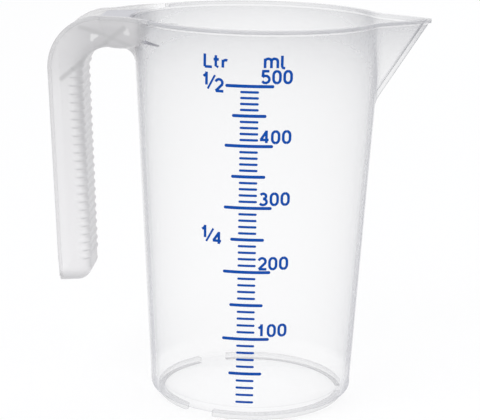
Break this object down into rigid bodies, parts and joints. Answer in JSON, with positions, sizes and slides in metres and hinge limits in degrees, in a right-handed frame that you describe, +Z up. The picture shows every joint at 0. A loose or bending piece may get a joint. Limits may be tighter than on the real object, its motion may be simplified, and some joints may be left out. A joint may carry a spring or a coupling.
{
  "type": "measuring jug",
  "caption": "Half-litre measuring jug in milky translucent plastic, with a tapered cup, a V-shaped spout, a hollow ribbed handle and a printed volume scale",
  "frame": {"origin": "on the cup's axis, in the plane of the foot ring's bottom, where the jug stands", "axes": "+Z up along the cup's axis, +X towards the spout, -X towards the handle, and the printed scale faces -Y"},
  "size_m": [0.1302, 0.0876, 0.1355],
  "materials": {
    "natural_polypropylene": "milky translucent moulded polypropylene, smooth and slightly glossy, uncoloured",
    "blue_ink": "printed blue ink, satin, opaque"
  },
  "bodies": {
    "root": {"cup_wall": "natural_polypropylene", "rim_lip": "natural_polypropylene", "base_floor": "natural_polypropylene", "foot_ring": "natural_polypropylene", "spout_side_front": "natural_polypropylene", "spout_side_back": "natural_polypropylene", "spout_lip": "natural_polypropylene", "handle_grip": "natural_polypropylene", "handle_side_front": "natural_polypropylene", "handle_side_back": "natural_polypropylene", "handle_bridge_floor": "natural_polypropylene", "handle_bridge_deck": "natural_polypropylene", "handle_end_cap": "natural_polypropylene", "handle_cross_ribs": "natural_polypropylene", "handle_root_fillet": "natural_polypropylene", "handle_edge_band": "natural_polypropylene", "handle_grip_ribs": "natural_polypropylene", "ten_ml_marks": "blue_ink", "fifty_ml_marks": "blue_ink", "hundred_ml_marks": "blue_ink", "volume_numerals": "blue_ink", "unit_letters": "blue_ink", "litre_fractions": "blue_ink"}
  },
  "joints": []
}
